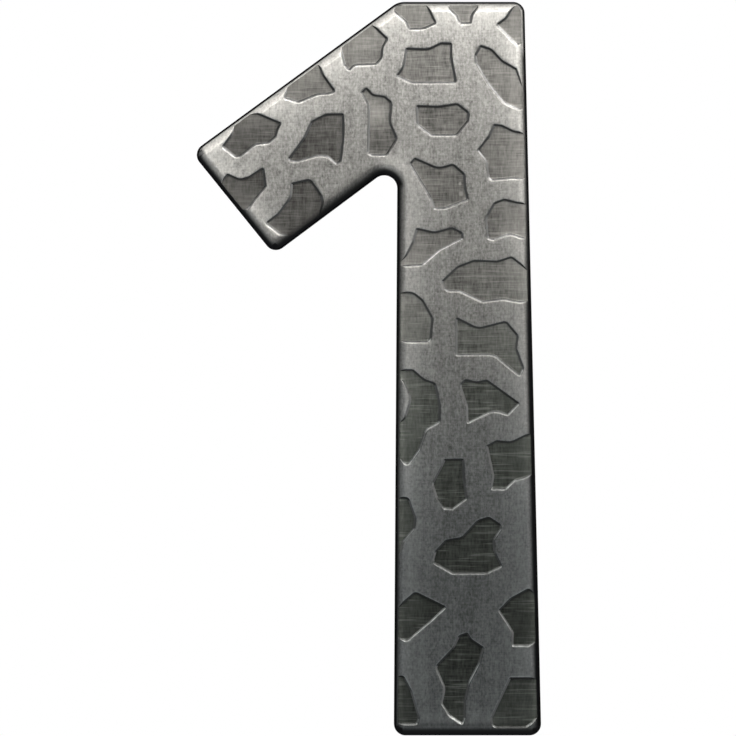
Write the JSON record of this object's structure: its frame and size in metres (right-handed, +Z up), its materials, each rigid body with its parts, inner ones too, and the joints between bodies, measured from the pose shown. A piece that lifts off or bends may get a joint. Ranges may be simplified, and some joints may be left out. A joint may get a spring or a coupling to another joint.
{
  "type": "house number",
  "caption": "Flat iron house numeral with a slanting flag, rounded front edges and a raised net between shallow sunken cells, held to a wall by hidden studs in tapped back holes.",
  "frame": {"origin": "midway between the two tapped holes, on the flat back face, on the centre line of the stem", "axes": "+X right and +Z up as seen from the front, +Y out of the flat back towards the wall; the patterned front faces -Y"},
  "size_m": [0.0715, 0.005, 0.1524],
  "materials": {
    "iron": "brushed bright on the raised net, darkened in the cells and on the sides"
  },
  "bodies": {
    "root": {"house_number": "iron"}
  },
  "joints": []
}
